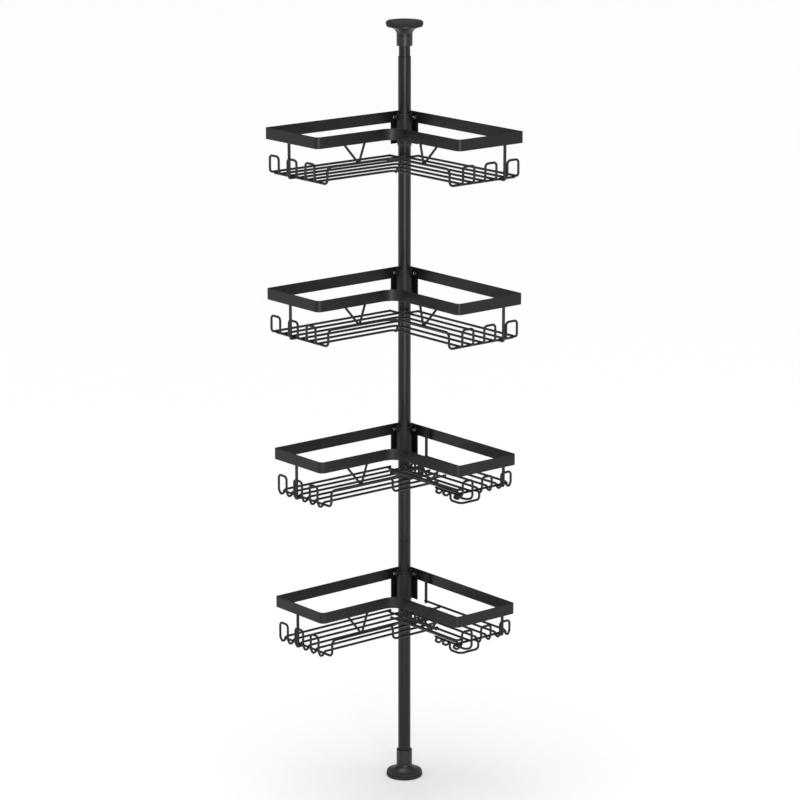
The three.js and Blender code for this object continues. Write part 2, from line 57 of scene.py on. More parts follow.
# A route through corners, each rounded by an arc that leaves its straight run at
# reach = radius * tan(turn / 2): start + along * r * sin(a) + toCentre * r * (1 - cos(a)), a from 0 to turn.
# ease adds a point that far before and after every arc, which keeps the shading of long flats level.
def roundedRoute(corners, bends, steps=8, closed=False, ease=0.0):
    corners = np.asarray(corners, float)
    bends = np.broadcast_to(np.asarray(bends, float), (len(corners),)).copy()
    if closed:
        before, after = np.roll(corners, 1, axis=0), np.roll(corners, -1, axis=0)
        here, radius = corners, bends
    else:
        before, here, after, radius = corners[:-2], corners[1:-1], corners[2:], bends[1:-1]
    into, out = here - before, after - here
    # An arc takes up less than half of the run on either side, so that neighbours never meet.
    shortest = np.minimum(np.linalg.norm(into, axis=1), np.linalg.norm(out, axis=1)) * 0.49
    into, out = unit(into), unit(out)
    cosTurn = np.clip((into * out).sum(axis=1), -1, 1)
    turn = np.maximum(np.arccos(cosTurn), 1e-4)
    reach = np.minimum(radius * np.tan(turn / 2), shortest)
    arcRadius = (reach / np.tan(turn / 2))[:, None, None]
    toCentre = unit(out - into * cosTurn[:, None])
    angle = turn[:, None, None] * np.linspace(0, 1, steps + 1)[None, :, None]
    start = (here - into * reach[:, None])[:, None]
    onward = into[:, None] * arcRadius * np.sin(angle)
    sideways = toCentre[:, None] * arcRadius * (1 - np.cos(angle))
    arcs = start + onward + sideways
    if ease:
        room = np.minimum(ease, np.maximum(shortest - reach, 0))[:, None]
        lead, tail = (into * room)[:, None], (out * room)[:, None]
        arcs = np.concatenate([arcs[:, :1] - lead, arcs, arcs[:, -1:] + tail], axis=1)
    route = arcs.reshape(-1, corners.shape[1])
    if closed:
        return route
    return np.concatenate([corners[:1], route, corners[-1:]])


# The direction of travel at each point of a route: the sum of the unit steps on either side of it.
def travelOf(route, closed):
    steps = unit(np.diff(route, axis=0, append=route[:1]) if closed else np.diff(route, axis=0))
    if closed:
        return unit(steps + np.roll(steps, 1, axis=0))
    return unit(np.concatenate([steps[:1], steps[1:] + steps[:-1], steps[-1:]]))


# A section, which is a closed loop, carried along a route:
# point(i, j) = centre(i) + across(i) * section(j, 0) + up(i) * section(j, 1).
# The surface is joined end to end, or ends in one flat face at each end.
def carried(section, centres, across, up, closed):
    grid = centres[:, None] + across[:, None] * section[..., :1] + up[:, None] * section[..., 1:2]
    stations, around = grid.shape[:2]
    index = np.arange(stations * around).reshape(stations, around)
    along = index if not closed else np.concatenate([index, index[:1]])
    sideways = np.roll(along, -1, axis=1)
    quads = np.stack([along[:-1], sideways[:-1], sideways[1:], along[1:]], axis=-1).reshape(-1, 4)
    faces = [quads] if closed else [quads, index[:1, ::-1], index[-1:]]
    points = grid.reshape(-1, 3)
    a, b, c, d = (points[quads[:, k]] for k in range(4))
    doubleVolume = (a * np.cross(b, c)).sum() + (a * np.cross(c, d)).sum()
    for cap in faces[1:]:
        ring = points[cap[0]]
        doubleVolume += (ring[0] * np.cross(ring[1:-1], ring[2:])).sum()
    if doubleVolume < 0:
        faces = [face[:, ::-1] for face in faces]
    return points, faces


wireSmoothness = {"bend": 7, "tip": 3}


def circleSection(radius, sides):
    angle = np.arange(sides) * 2 * np.pi / sides
    return np.stack([radius * np.cos(angle), radius * np.sin(angle)], axis=1)


# A round wire: a circle carried along the route, its ends drawn in over most of a quarter circle.
def wire(corners, radius, bend=0.0, sides=12, closed=False):
    route = roundedRoute(corners, bend, wireSmoothness["bend"], closed)
    travel = travelOf(route, closed)
    if closed:
        scale = np.ones(len(route))
    else:
        rings = wireSmoothness["tip"]
        rise = np.linspace(math.pi * 0.44, 0, rings + 1)[:-1]
        tip = (radius * np.sin(rise))[:, None]
        route = np.concatenate([route[0] - travel[0] * tip, route, route[-1] + travel[-1] * tip[::-1]])
        scale = np.concatenate([np.cos(rise), np.ones(len(travel)), np.cos(rise[::-1])])
        travel = np.concatenate([np.repeat(travel[:1], rings, 0), travel, np.repeat(travel[-1:], rings, 0)])
    level = np.array([0.53, 0.62, 0.58])  # no wire runs this way, so it is never in line with one
    across = unit(level - travel * (travel @ level)[:, None])
    section = circleSection(radius, sides)[None] * scale[:, None, None]
    return carried(section, route, across, np.cross(travel, across), closed)


# A straight-sided section rounded at its corners, as a closed loop of (across, up).
def roundedSection(corners, radii, steps, ease):
    return roundedRoute(np.asarray(corners, float), radii, steps, True, ease)


# A section of (radius, height) turned about the pole's axis, from one angle to another in degrees.
def turned(section, sides, start=0.0, sweep=360.0):
    whole = sweep >= 360
    angle = np.radians(start + np.linspace(0, sweep, sides + 1)[: sides if whole else sides + 1])
    across = np.stack([np.cos(angle), np.sin(angle), np.zeros_like(angle)], axis=1)
    up = np.broadcast_to([0.0, 0.0, 1.0], across.shape)
    return carried(np.asarray(section, float), np.zeros_like(across), across, up, whole)


# Small ellipsoids, one at each centre: centre + size * (cos(a)cos(b), sin(a)cos(b), sin(b)).
def weldBeads(centres, size):
    centres = np.asarray(centres, float).reshape(-1, 3)
    rings, around = 5, 8
    b = np.linspace(-math.pi * 0.42, math.pi * 0.42, rings)[:, None]
    a = np.arange(around)[None] * 2 * np.pi / around
    ball = np.stack([np.cos(a) * np.cos(b), np.sin(a) * np.cos(b), np.sin(b) + 0 * a], axis=-1).reshape(-1, 3)
    points = (centres[:, None] + ball[None] * np.asarray(size, float)).reshape(-1, 3)
    index = np.arange(rings * around).reshape(rings, around)
    beside = np.roll(index, -1, axis=1)
    quads = np.stack([index[:-1], beside[:-1], beside[1:], index[1:]], axis=-1).reshape(-1, 4)
    step = (np.arange(len(centres)) * rings * around)[:, None, None]
    caps = np.stack([index[0, ::-1], index[-1]])
    return points, [(quads[None] + step).reshape(-1, 4), (caps[None] + step).reshape(-1, around)]


sharpAngle = 38  # degrees: faces that meet at more than this keep a crisp edge


# Joins surfaces into one mesh, sets its finish, and hands it to its body in place of its parts.
# merge closes a section that starts and ends on the axis it was turned about.
def addPiece(name, surfaces, material, body, nodes, merge=False):
    first = np.cumsum([0] + [len(points) for points, _ in surfaces[:-1]])
    points = np.concatenate([points for points, _ in surfaces]) * metresPerMm
    faces = []
    for offset, (_, groups) in zip(first, surfaces):
        for group in groups:
            faces += (group + offset).tolist()
    mesh = bpy.data.meshes.new(name)
    mesh.from_pydata(points.tolist(), [], faces)
    if merge:
        work = bmesh.new()
        work.from_mesh(mesh)
        bmesh.ops.remove_doubles(work, verts=work.verts, dist=2e-6)
        loose = [edge for edge in work.edges if not edge.link_faces]
        bmesh.ops.delete(work, geom=loose, context="EDGES")
        work.to_mesh(mesh)
        work.free()
    mesh.polygons.foreach_set("use_smooth", np.ones(len(mesh.polygons), bool))
    mesh.set_sharp_from_angle(angle=math.radians(sharpAngle))
    mesh.materials.append(material)
    piece = bpy.data.objects.new(name, mesh)
    scene.collection.objects.link(piece)
    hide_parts(*nodes)
    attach(piece, body)



# Colours are sRGB hex values, which this turns to linear.
def linearOf(hexColour):
    value = np.array([int(hexColour[i:i + 2], 16) for i in (1, 3, 5)]) / 255
    value = np.where(value <= 0.04045, value / 12.92, ((value + 0.055) / 1.055) ** 2.4)
    return (*value.tolist(), 1.0)


# Adds a node, sets its inputs or properties by name, and links its inputs.
def addNode(tree, kind, settings=None, links=None):
    node = tree.nodes.new(kind)
    for key, value in (settings or {}).items():
        if isinstance(key, int) or key in node.inputs:
            node.inputs[key].default_value = value
        else:
            setattr(node, key, value)
    for key, source in (links or {}).items():
        tree.links.new(source, node.inputs[key])
    return node


# A coating over steel or a moulded skin: two colours mottled together, roughness that wanders
# with a finer pattern, and a bump from the finest one. Pattern sizes are in millimetres.
def coatedFinish(name, look):
    material = bpy.data.materials.new(name)
    material.use_nodes = True
    tree = material.node_tree
    tree.nodes.clear()
    place = addNode(tree, "ShaderNodeTexCoord")
    stretch = look.get("stretch", (1, 1, 1))
    mapping = addNode(tree, "ShaderNodeMapping", {"Scale": stretch}, {"Vector": place.outputs["Object"]})
    spot = {"Vector": mapping.outputs["Vector"]}
    sizes = [look[key] * metresPerMm for key in ("mottleMm", "grainMm", "speckMm")]
    mottleScale, grainScale, speckScale = (1 / size for size in sizes)
    mottle = addNode(tree, "ShaderNodeTexNoise", {"Scale": mottleScale, "Detail": 4, "Roughness": 0.6}, spot)
    grain = addNode(tree, "ShaderNodeTexNoise", {"Scale": grainScale, "Detail": 2.5, "Roughness": 0.5}, spot)
    specks = addNode(tree, "ShaderNodeTexVoronoi", {"Scale": speckScale}, spot)
    shade = addNode(tree, "ShaderNodeValToRGB", links={"Fac": mottle.outputs["Fac"]})
    # The noise keeps mostly to the middle of its range, so the ramp's ends are drawn in.
    for end, position, key in ((0, 0.34, "dark"), (1, 0.68, "light")):
        shade.color_ramp.elements[end].position = position
        shade.color_ramp.elements[end].color = linearOf(look[key])
    fade = {"From Min": 0.0, "From Max": 0.16, "To Min": look["dust"], "To Max": 0.0}
    dust = addNode(tree, "ShaderNodeMapRange", fade, {"Value": specks.outputs["Distance"]})
    colour = addNode(tree, "ShaderNodeMix", {"data_type": "RGBA"}, {"Factor": dust.outputs["Result"]})
    colour.inputs[7].default_value = linearOf(look["speck"])  # 6 and 7 are the two colours that it mixes
    tree.links.new(shade.outputs["Color"], colour.inputs[6])
    smooth, rough = look["roughness"]
    wander = {"From Min": 0.3, "From Max": 0.7, "To Min": smooth, "To Max": rough}
    gloss = addNode(tree, "ShaderNodeMapRange", wander, {"Value": mottle.outputs["Fac"]})
    relief = {"Strength": look["bump"], "Distance": look["depthMm"] * metresPerMm}
    bump = addNode(tree, "ShaderNodeBump", relief, {"Height": grain.outputs["Fac"]})
    patterns = {"Base Color": colour.outputs[2], "Roughness": gloss.outputs["Result"],
                "Normal": bump.outputs["Normal"]}
    shader = addNode(tree, "ShaderNodeBsdfPrincipled", {"Metallic": look["metallic"]}, patterns)
    if not look["metallic"]:
        shader.inputs["IOR"].default_value = look["ior"]
    addNode(tree, "ShaderNodeOutputMaterial", links={"Surface": shader.outputs["BSDF"]})
    return material


# Satin black powder coat baked on steel: near black, a soft sheen that breaks up over faint orange peel.
# The peel is really under 1 mm across; it is drawn at 1.8 mm so that it shows.
powderCoat = coatedFinish("satinBlackPowderCoat", {
    "dark": "#101011", "light": "#161617", "speck": "#2c2c2e", "dust": 0.25, "mottleMm": 45, "grainMm": 1.8,
    "speckMm": 3.2, "roughness": (0.34, 0.46), "metallic": 0.0, "ior": 1.38, "bump": 0.3, "depthMm": 0.12})
# The same coat on the pole's drawn tube, smoother and glossier, with marks drawn out along its length.
tubeCoat = coatedFinish("satinBlackTubeCoat", {
    "dark": "#0f0f10", "light": "#151516", "speck": "#2a2a2c", "dust": 0.2, "mottleMm": 30, "grainMm": 2.2,
    "speckMm": 4.0, "roughness": (0.25, 0.34), "metallic": 0.0, "ior": 1.38, "bump": 0.2, "depthMm": 0.1,
    "stretch": (1, 1, 0.22)})
# Injection-moulded black ABS with a fine spark-eroded grain (0.3 mm in the mould, drawn at 1.1 mm).
mouldedPlastic = coatedFinish("mouldedBlackAbs", {
    "dark": "#161617", "light": "#1e1e20", "speck": "#303032", "dust": 0.15, "mottleMm": 22, "grainMm": 1.1,
    "speckMm": 2.4, "roughness": (0.34, 0.46), "metallic": 0.0, "ior": 1.5, "bump": 0.25, "depthMm": 0.06})
# Moulded black rubber, matte and slightly chalky, with a coarser skin.
mouldedRubber = coatedFinish("mouldedBlackRubber", {
    "dark": "#101011", "light": "#1a1a1b", "speck": "#3d3c3a", "dust": 0.3, "mottleMm": 14, "grainMm": 0.9,
    "speckMm": 1.7, "roughness": (0.68, 0.85), "metallic": 0.0, "ior": 1.52, "bump": 0.5, "depthMm": 0.1})
# Bright zinc plate on pressed steel: cool grey, finely rippled, duller in patches.
zincPlate = coatedFinish("zincPlatedSteel", {
    "dark": "#8f9498", "light": "#c3c8cc", "speck": "#72777b", "dust": 0.35, "mottleMm": 5, "grainMm": 0.8,
    "speckMm": 1.4, "roughness": (0.26, 0.42), "metallic": 1.0, "bump": 0.3, "depthMm": 0.04})
print("materials made")


# The pole, the foot and the ceiling cup: radii, and heights above the floor.

tubes = {"outer": 12.5, "inner": 11.3, "bottom": 13.2, "top": 1458.7, "count": 3, "gap": 0.3, "lip": 0.45}
innerTube = {"outer": 11.0, "inner": 9.9, "bottom": 1386, "top": 1513.7, "lip": 0.4}
foot = {"radius": 36, "padTop": 7.5, "rimTop": 10.5, "domeTop": 26.7, "neck": 15.4, "floor": 13, "gap": 0.3}
rim = {"step": 1, "lead": 0.4, "edge": 1.2, "start": 0.9, "rise": 0.5, "bends": [0, 0.7, 0.8, 0]}
pad = {"taper": 2.6, "taperTop": 2.4, "bends": [0, 3, 2.4, 0.9, 0], "ease": 0.4}
socket = {"foot": 12.8, "ceiling": 11.3, "land": 0.4, "bends": [0, 0.4, 0.3, 0]}
footCollar = {"outer": 15.7, "inner": 12.8, "bottom": 27.0, "top": 55.6, "lip": 0.9}
ceilingCollar = {"outer": 15.4, "inner": 11.3, "bottom": 1479.2, "top": 1500, "lip": 0.9}
poleSides = 96
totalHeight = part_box("ceiling_pad")[1][2] / metresPerMm


# A tube's wall as a loop of (radius, height), its edges rounded.
def tubeSection(outer, inner, bottom, top, lip):
    corners = [(inner, bottom), (outer, bottom), (outer, top), (inner, top)]
    return roundedSection(corners, lip, 3, 1.5)


def tubeOf(size, sides=poleSides):
    section = tubeSection(size["outer"], size["inner"], size["bottom"], size["top"], size["lip"])
    return [turned(section, sides)]


spacing = (tubes["top"] - tubes["bottom"]) / tubes["count"]
for number in range(tubes["count"]):
    bottom = tubes["bottom"] + number * spacing + (tubes["gap"] if number else 0)
    top = tubes["bottom"] + (number + 1) * spacing
    surfaces = tubeOf({**tubes, "bottom": bottom, "top": top})
    addPiece(f"poleTube{number + 1}", surfaces, tubeCoat, "pole", [f"pole_tube_{number + 1}"])
addPiece("innerTube", tubeOf(innerTube), tubeCoat, "pole_head", ["inner_tube"])


# The cup's outline from its rim up to the neck: radius = neck + reach * (1 - sin(a)) ** 1.15 and
# height = rim + rise * (1 - cos(a)) ** 0.8, a from 0 to a right angle.
def cupSection(bore):
    angle = np.linspace(0, math.pi / 2, 22)
    neck, seat, edge = foot["neck"], foot["padTop"] + foot["gap"], foot["radius"] - rim["step"]
    flareFoot = foot["rimTop"] + rim["rise"]
    flare = np.stack([
        neck + (edge - rim["start"] - neck) * (1 - np.sin(angle)) ** 1.15,
        flareFoot + (foot["domeTop"] - flareFoot) * (1 - np.cos(angle)) ** 0.8,
    ], axis=1)
    base = [(0, seat), (edge, seat), (edge, foot["rimTop"] + rim["lead"]), (edge - rim["edge"], flareFoot)]
    inside = [(neck - socket["land"], foot["domeTop"]), (bore, foot["domeTop"]), (bore, foot["floor"]),
              (0, foot["floor"])]
    lower, upper = roundedRoute(base, rim["bends"], 4), roundedRoute(inside, socket["bends"], 3)
    return np.concatenate([lower, flare, upper])


def padSection():
    radius, top = foot["radius"], foot["padTop"]
    corners = [(0, 0), (radius - pad["taper"], 0), (radius, pad["taperTop"]), (radius, top), (0, top)]
    return roundedRoute(corners, pad["bends"], 5, False, pad["ease"])


def flipped(section):
    return np.stack([section[:, 0], totalHeight - section[:, 1]], axis=1)


poleEnds = {"foot": ("pole", socket["foot"], footCollar, np.asarray),
            "ceiling": ("pole_head", socket["ceiling"], ceilingCollar, flipped)}
for place, (body, bore, collar, turn) in poleEnds.items():
    padSurfaces = [turned(turn(padSection()), poleSides)]
    cupSurfaces = [turned(turn(cupSection(bore)), poleSides)]
    addPiece(f"{place}Pad", padSurfaces, mouldedRubber, body, [f"{place}_pad"], merge=True)
    addPiece(f"{place}Cup", cupSurfaces, mouldedPlastic, body, [f"{place}_cup"], merge=True)
    addPiece(f"{place}Collar", tubeOf(collar), mouldedPlastic, body, [f"{place}_collar"])

# The spring, its seat and the sleeves inside the seams stay as they come, with their real finishes.
hiddenParts = {"tension_spring": zincPlate, "tube_joiner_1": zincPlate, "tube_joiner_2": zincPlate,
               "spring_seat": mouldedPlastic}
for nodeName, material in hiddenParts.items():
    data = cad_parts[nodeName].data
    data.materials.clear()
    data.materials.append(material)
print("pole, foot and ceiling cup made")


# The baskets: heights are below the rail's top edge.

basketA = {"length": 341, "width": 157, "firstWire": 8, "pitch": 27, "leftPost": 66, "rightPost": 41}
basketB = {"length": 327, "width": 146, "firstWire": 8, "pitch": 24, "leftPost": 63, "rightPost": 26}
poleToWall = 20
tiers = {"tier1": basketA, "tier2": basketA, "tier3": basketB, "tier4": basketB}


# A wing's own coordinates: along it from the back corner, out from its wall, and down from the rail's top.
def onRight(along, out, z):
    return np.array([along - poleToWall, poleToWall - out, z], float)


def onLeft(along, out, z):
    return np.array([out - poleToWall, poleToWall - along, z], float)


def trackOf(basket, index):
    return basket["firstWire"] + basket["pitch"] * index


rail = {"height": 22, "thick": 2, "frontBend": 11, "innerBend": 30, "backBend": 3.2, "edge": 0.7, "ease": 1.2}


# The rail: a thin upright strip with rounded edges, bent around the basket's outline.
def railSurface(basket):
    length, width = basket["length"], basket["width"]
    corners = np.array([onRight(0, 0, 0), onRight(length, 0, 0), onRight(length, width, 0),
                        onRight(width, width, 0), onLeft(length, width, 0), onLeft(length, 0, 0)])
    backBend, frontBend = rail["backBend"], rail["frontBend"]
    bends = [backBend, backBend, frontBend, rail["innerBend"], frontBend, backBend]
    route = roundedRoute(corners, bends, 14, True, rail["ease"])
    travel = travelOf(route, True)
    inward = np.stack([travel[:, 1], -travel[:, 0], 0 * travel[:, 0]], axis=1)
    up = np.broadcast_to([0.0, 0.0, 1.0], inward.shape)
    thick, height = rail["thick"], rail["height"]
    section = roundedSection([(0, -height), (thick, -height), (thick, 0), (0, 0)], rail["edge"], 4, 0.25)
    return carried(section, route, inward, up, True)


floor = {"wire": 2.3, "z": -84, "poleClear": 46, "poleBend": 10, "corner": 16, "endCross": 18, "weld": 1.1}
hooks = {"height": 32, "inset": 4.5, "bend": 6.5}
post = {"wire": 2.9, "gap": 0.3, "top": -6, "bend": 3, "sides": 14}
beads = {"cross": (2.5, 2.5, 1.7), "corner": (2.8, 2.8, 1.9), "cornerRise": 0.5}


# The level of a wire welded under wires at z.
def under(z):
    return z - 2 * floor["wire"] + floor["weld"]


def crossWire(place, along, start, end, z):
    return wire([place(along, start, under(z)), place(along, end, under(z))], floor["wire"])


# Weld beads where straight wires cross a wire that passes under them.
def crossBeads(place, alongs, outs, z):
    level = z - floor["wire"] + floor["weld"] / 2
    centres = [place(along, out, level) for along in alongs for out in outs]
    return weldBeads(centres, beads["cross"])


# The stations of a hook pair: up at the wing's end, across to the next wire and down again.
def hookCorners(place, plane, a, b, z, height):
    return [place(plane, a, z), place(plane, a, z + height), place(plane, b, z + height), place(plane, b, z)]


dip = {"depth": 7.2, "start": 1.5, "from": 4.5, "to": 11.5, "bend": 4.5}


# A stepped basket's wire on its way up into a hook: it dips first, just past the end cross wire.
def dippingFoot(basket, place, track, z):
    past, low = basket["length"] - floor["endCross"] - floor["wire"], z - dip["depth"]
    plane = basket["length"] - hooks["inset"]
    return [place(past + dip["start"], track, z), place(past + dip["from"], track, low),
            place(past + dip["to"], track, low), place(plane, track, z + floor["wire"])]


# One bent wire of a stepped basket: along track a, up into the hook and back along track b.
def steppedPair(basket, place, startA, startB, a, b, z, height):
    plane = basket["length"] - hooks["inset"]
    corners = [place(startA, a, z), *dippingFoot(basket, place, a, z), place(plane, a, z + height),
               place(plane, b, z + height), *dippingFoot(basket, place, b, z)[::-1], place(startB, b, z)]
    dipBends = [dip["bend"]] * 4
    return wire(corners, floor["wire"], [0, *dipBends, hooks["bend"], hooks["bend"], *dipBends, 0])


# The thicker post at a wing's end, from the end cross wire up to the rail.
def endPost(basket, place, out, z):
    cross = basket["length"] - floor["endCross"]
    plane = basket["length"] - rail["thick"] - post["gap"] - post["wire"]
    corners = [place(cross, out, under(z)), place(plane, out, under(z)), place(plane, out, post["top"])]
    return wire(corners, post["wire"], post["bend"], post["sides"])


def lifted(surface, height):
    points, faces = surface
    return points + np.array([0, 0, height]), faces


# The floor of an upper basket. Each pair of wires is one bent wire: along both wings, up into a hook
# at the end of each. The pair nearest the pole stops at a wire that goes around it.
def upperFloor(basket):
    length = basket["length"]
    plane, z, height = length - hooks["inset"], floor["z"], hooks["height"]
    radius, bend = floor["wire"], hooks["bend"]
    clear = floor["poleClear"]
    made = []
    for pair in range(3):
        a, b = trackOf(basket, 2 * pair), trackOf(basket, 2 * pair + 1)
        if a < clear:
            for place in (onRight, onLeft):
                hook = hookCorners(place, plane, a, b, z, height)
                made.append(wire([place(clear, a, z), *hook, place(clear, b, z)], radius, bend))
        else:
            corners = [*hookCorners(onLeft, plane, a, b, z, height), onRight(b, b, z),
                       *hookCorners(onRight, plane, b, a, z, height), onRight(a, a, z)]
            bends = [bend] * 4 + [floor["corner"]] + [bend] * 4 + [floor["corner"]]
            made.append(wire(corners, radius, bends, closed=True))
    first, last = trackOf(basket, 0) - radius, trackOf(basket, 5) + radius
    aroundPole = [onLeft(clear, first, z), onRight(clear, clear, z), onRight(clear, first, z)]
    made.append(wire(aroundPole, radius, floor["poleBend"]))
    near, far = clear - 3 * radius, last - radius
    made.append(wire([onRight(near, near, under(z)), onRight(far, far, under(z))], radius))
    tracks = [trackOf(basket, i) for i in range(6)]
    cross = length - floor["endCross"]
    for place in (onRight, onLeft):
        made.append(crossWire(place, cross, first, last, z))
        made.append(crossBeads(place, [cross], tracks, z))
    rounded = [track + floor["corner"] * (1 - math.sqrt(0.5)) for track in tracks[2:]]
    centres = [onRight(track, track, z - radius + beads["cornerRise"]) for track in rounded]
    made.append(weldBeads(centres, beads["corner"]))
    return made


# The low floor of a stepped basket: straight wires over the left wing, hooked at its end.
def lowFloor(basket):
    length = basket["length"]
    z, radius = floor["z"], floor["wire"]
    clear, first = floor["poleClear"], trackOf(basket, 0) - radius
    last = trackOf(basket, 5) + radius
    made = []
    for pair in range(3):
        a, b = trackOf(basket, 2 * pair), trackOf(basket, 2 * pair + 1)
        startA, startB = (clear if a < clear else first), (clear if b < clear else first)
        made.append(steppedPair(basket, onLeft, startA, startB, a, b, z, hooks["height"]))
    cross = length - floor["endCross"]
    made.append(crossWire(onLeft, cross, first, last, z))
    made.append(crossWire(onLeft, clear + radius, first, basket["width"] + guard["out"], z))
    made.append(crossWire(onLeft, trackOf(basket, 0), clear, last, z))
    tracks = [trackOf(basket, i) for i in range(6)]
    made.append(crossBeads(onLeft, [cross, clear + radius], tracks, z))
    made.append(crossBeads(onLeft, [trackOf(basket, 0)], tracks[2:], z))
    return made


tray = {"z": -57, "start": 110, "hookHeight": 23, "post": 73, "guardZ": -48, "supportShift": 6}
hanger = {"inner": 13, "innerOut": 119, "outer": 18.5, "outerOut": 87, "back": 30, "bend": 9}


# The raised tray of a stepped basket, hooked at the right wing's end, with the post that ties it to the rail.
def raisedTray(basket):
    length = basket["length"]
    plane, z, radius = length - hooks["inset"], tray["z"], floor["wire"]
    made = []
    for pair in range(3):
        a, b = trackOf(basket, 2 * pair), trackOf(basket, 2 * pair + 1)
        start = tray["post"] - post["wire"] if pair == 0 else tray["start"]
        if pair < 2:
            made.append(steppedPair(basket, onRight, start, tray["start"], a, b, z, tray["hookHeight"]))
            continue
        # The last pair's inner leg runs on down and turns back under the tray as a hanger.
        low, top = z - hanger["inner"], z + tray["hookHeight"]
        inner = hanger["innerOut"]
        corners = [onRight(plane - hanger["back"], inner, low), onRight(plane, inner, low),
                   onRight(plane, a, low), onRight(plane, a, top), onRight(plane, b, top),
                   *dippingFoot(basket, onRight, b, z)[::-1], onRight(tray["start"], b, z)]
        bend = hooks["bend"]
        made.append(wire(corners, radius, [0, hanger["bend"], bend, bend, bend, *[dip["bend"]] * 4, 0]))
        made.append(wire([onRight(tray["start"], a, z), onRight(plane, a, z)], radius))
    first, last = trackOf(basket, 0) - radius, trackOf(basket, 5) + radius
    crossings = [tray["start"] + radius, length - floor["endCross"]]
    made += [crossWire(onRight, along, first, last, z) for along in crossings]
    tracks = [trackOf(basket, i) for i in range(6)]
    made.append(crossBeads(onRight, crossings, tracks, z))
    ends = [onRight(tray["post"], tracks[0], z - radius), onRight(tray["post"], tracks[0], post["top"])]
    made.append(wire(ends, post["wire"], 0, post["sides"]))
    return made


guard = {"z": -56, "wire": 2.4, "out": 7, "bend": 9, "cornerBend": 30, "step": 6}
brace = {"wire": 2.3, "spread": 46, "top": -8, "below": 1, "foot": 2, "lift": 2, "bend": 3, "gap": 0.5}


# A bent support that hangs from the front rail down to the guard wire.
def support(place, middle, behind, out, z):
    top, below, low = brace["top"], -rail["height"] - brace["below"], z + brace["lift"]
    half, foothold = brace["spread"] / 2, brace["foot"]
    return wire([place(middle - half, behind, top), place(middle - half, behind, below),
                 place(middle - foothold, out, low), place(middle + foothold, out, low),
                 place(middle + half, behind, below), place(middle + half, behind, top)],
                brace["wire"], brace["bend"])


# The wire along the front. At its ends it turns down, then in under the wing's end to meet the cross wire.
# On a stepped basket its left part also turns down at the inner corner and runs back along the low floor,
# and its right part runs right under the rail and turns in to meet the last hook.
def guardWire(basket, upper):
    length, width = basket["length"], basket["width"]
    out, legAt = width + guard["out"], length - floor["endCross"]
    meet, middle = trackOf(basket, 5), (length + width) / 2
    behind = width - rail["thick"] - brace["wire"] - brace["gap"]
    leg, step, high, low = guard["bend"], guard["step"], guard["z"], floor["z"]

    def legOf(place):
        return [place(legAt, meet, under(low)), place(legAt, out, under(low)), place(legAt, out, high)]

    made = [support(onLeft, middle, behind, out - 1, high)]
    if upper:
        corners = [*legOf(onLeft), onRight(out, out, high), *legOf(onRight)[::-1]]
        made.append(wire(corners, guard["wire"], [0, leg, leg, guard["cornerBend"], leg, leg, 0]))
        made.append(support(onRight, middle, behind, out - 1, high))
        return made
    inner = onLeft(out + step, out, high)
    corners = [*legOf(onLeft), inner, onLeft(out + step, out, low), onLeft(floor["poleClear"], out, low)]
    made.append(wire(corners, guard["wire"], leg))
    plane = length - hooks["inset"]
    corners = [onLeft(out + 4 * step, out, high), inner, onRight(out + 2 * step, behind, tray["guardZ"]),
               onRight(plane, behind, tray["guardZ"]), onRight(plane, meet, tray["guardZ"])]
    made.append(wire(corners, guard["wire"], leg))
    made.append(support(onRight, middle + tray["supportShift"], behind, behind, tray["guardZ"]))
    return made


slots = {"first": 44, "pitch": 9.6, "bars": 6, "back": 0.7, "lift": 0.3, "above": 3, "bend": 4}


# Upright bars between the low floor and the raised tray.
def slotBars():
    plane = tray["start"] - 2 * floor["wire"] - slots["back"]
    low, high = floor["z"] + 2 * floor["wire"] + slots["lift"], tray["z"] + slots["above"]
    made = []
    for i in range(0, slots["bars"], 2):
        a = slots["first"] + slots["pitch"] * i
        b = a + slots["pitch"]
        corners = [onRight(plane, a, low), onRight(plane, a, high),
                   onRight(plane, b, high), onRight(plane, b, low)]
        made.append(wire(corners, floor["wire"], slots["bend"]))
    last = slots["first"] + slots["pitch"] * (slots["bars"] - 1)
    made.append(wire([onRight(plane, slots["first"], low), onRight(plane, last, low)], floor["wire"]))
    return made


frontHooks = {"centres": (263, 284, 316), "width": 14, "out": 6, "drop": 6, "bend": 4, "below": 3, "gap": 0.3,
              "start": 250, "end": 3}


# The wire along the tray's front edge with its small loops, and the hanger that goes around its corner.
def trayHooks(basket):
    length, radius = basket["length"], floor["wire"]
    z, low = tray["z"] - frontHooks["below"], tray["z"] - frontHooks["below"] - frontHooks["drop"]
    edge = trackOf(basket, 5) + 2 * radius + frontHooks["gap"]
    half, tip = frontHooks["width"] / 2, edge + frontHooks["out"]
    made = []
    for centre in frontHooks["centres"]:
        a, b = centre - half, centre + half
        corners = [onRight(a, edge, z), onRight(a, tip, low), onRight(b, tip, low), onRight(b, edge, z)]
        made.append(wire(corners, radius, frontHooks["bend"]))
    plane, bottom, seat = length - hooks["inset"], tray["z"] - hanger["outer"], under(tray["z"])
    outer, back = hanger["outerOut"], plane - hanger["back"]
    corners = [onRight(length - floor["endCross"], outer, seat), onRight(plane, outer, seat),
               onRight(plane, outer, bottom), onRight(plane, edge, bottom), onRight(back, edge, bottom),
               onRight(back, edge, z)]
    made.append(wire(corners, radius, [0, dip["bend"], hooks["bend"], hanger["bend"], hooks["bend"], 0]))
    ends = [onRight(frontHooks["start"], edge, z), onRight(length - frontHooks["end"], edge, z)]
    made.append(wire(ends, radius))
    return made


bracket = {"flange": 38, "thick": 2.2, "top": -1.5, "bottom": -63, "gap": 0.3, "bend": 2.6, "edge": 0.6}
sleeve = {"inner": 14.4, "outer": 16, "top": -6, "bottom": -60, "lip": 0.5}


